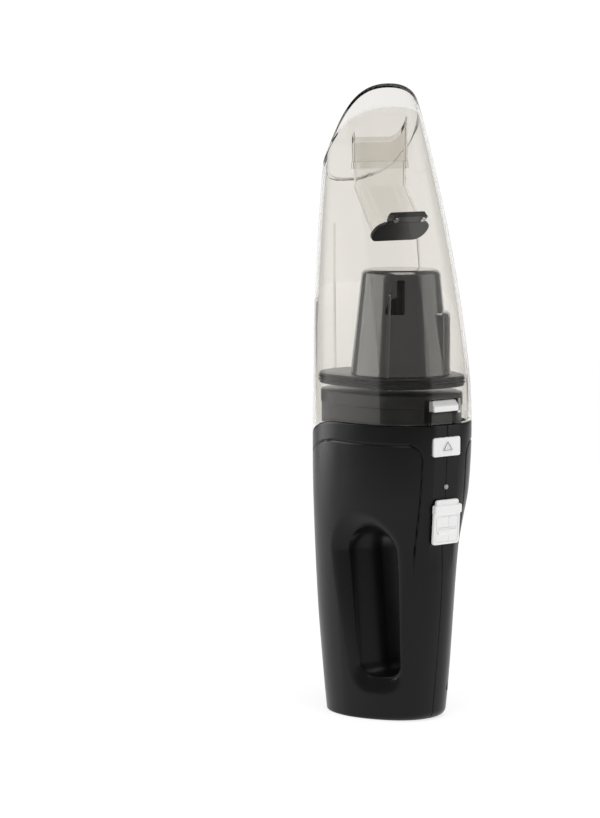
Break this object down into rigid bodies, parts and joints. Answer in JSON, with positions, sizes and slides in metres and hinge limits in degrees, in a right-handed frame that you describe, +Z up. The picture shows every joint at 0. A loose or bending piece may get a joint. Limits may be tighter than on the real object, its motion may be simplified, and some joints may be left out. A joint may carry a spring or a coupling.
{
  "type": "handheld vacuum",
  "caption": "Cordless handheld vacuum: black handle with a finger slot, slide switch and release button, and a clear lift-off dust cup with slanted nozzle, flap duct and cone filter.",
  "frame": {"origin": "centre of the tail's flat face, on which the vacuum stands upright", "axes": "+Z up from the tail to the nozzle, -Y to the front with the controls, +X to the vacuum's right-hand flank"},
  "size_m": [0.0862, 0.1107, 0.4118],
  "materials": {
    "black_shell": "satin moulded ABS",
    "neck_plastic": "fine satin",
    "clear_cup": "clear, lightly smoked moulded plastic",
    "clear_duct": "clear plastic, slightly frosted",
    "flap_rubber": "soft moulded",
    "filter_plastic": "satin",
    "pleat_media": "dark pleated filter media",
    "motor_steel": "zinc plated",
    "copper_winding": "enamelled copper",
    "mount_rubber": "moulded",
    "fan_metal": "pressed",
    "shroud_metal": "spun",
    "grey_foam": "open foam",
    "cell_sleeve": "shrink sleeve",
    "tray_plastic": "moulded",
    "nickel_strip": "nickel",
    "board_laminate": "solder mask",
    "white_control": "fine satin",
    "spring_wire": "drawn wire",
    "lens": "diffused",
    "contact_metal": "plated",
    "screw_steel": "zinc plated"
  },
  "bodies": {
    "handle": {"left_housing": "black_shell", "right_housing": "black_shell", "motor_cowl": "neck_plastic", "intake_grille": "neck_plastic", "motor_can": "motor_steel", "motor_mount": "mount_rubber", "fan_shroud": "shroud_metal", "motor_gasket": "grey_foam", "exhaust_foam": "grey_foam", "battery_cells": "cell_sleeve", "battery_tray": "tray_plastic", "battery_strips": "nickel_strip", "control_board": "board_laminate", "slide_switch": "tray_plastic", "latch_spring": "spring_wire", "led_lens": "lens", "charge_socket": "tray_plastic", "charge_contacts": "contact_metal", "housing_screws": "screw_steel"},
    "cup": {"dust_cup": "clear_cup", "inlet_collar": "clear_cup", "duct_band": "clear_duct", "inlet_duct": "clear_duct", "flap_retainer": "neck_plastic", "flap_screws": "screw_steel"},
    "flap": {"flap_valve": "flap_rubber"},
    "filter": {"filter_shell": "filter_plastic", "filter_element": "pleat_media", "filter_flange": "neck_plastic", "cup_seal": "flap_rubber"},
    "rotor": {"motor_armature": "copper_winding", "motor_shaft": "motor_steel", "fan_impeller": "fan_metal"},
    "release": {"release_button": "white_control", "latch_hook": "white_control"},
    "slider": {"power_slider": "white_control"}
  },
  "joints": [
    {"name": "cup_slide", "type": "slide", "parent": "handle", "child": "cup", "axis": [0, 0, 1], "range_m": [0, 0.24]},
    {"name": "filter_lift", "type": "slide", "parent": "handle", "child": "filter", "axis": [0, 0, 1], "range_m": [0, 0.096]},
    {"name": "flap_swing", "type": "hinge", "parent": "cup", "child": "flap", "pos_m": [0, -0.01424, 0.32236], "axis": [-1, 0, 0], "range_deg": [0, 40], "stiffness_Nm_per_rad": 0.01, "springref_deg": -5.73},
    {"name": "release_press", "type": "slide", "parent": "handle", "child": "release", "axis": [0, 1, 0], "range_m": [0, 0.003], "stiffness_N_per_m": 500, "springref_m": -0.002, "deforming": ["latch_spring"]},
    {"name": "power_slide", "type": "slide", "parent": "handle", "child": "slider", "axis": [0, -0.0558, 0.9984], "range_m": [0, 0.005]},
    {"name": "fan_spin", "type": "hinge", "parent": "handle", "child": "rotor", "pos_m": [0, 0, 0.16], "axis": [0, 0, 1], "continuous": true}
  ],
  "couplings": [
    {"joint": "filter_lift", "follows": "cup_slide", "ratio": 0.4}
  ]
}
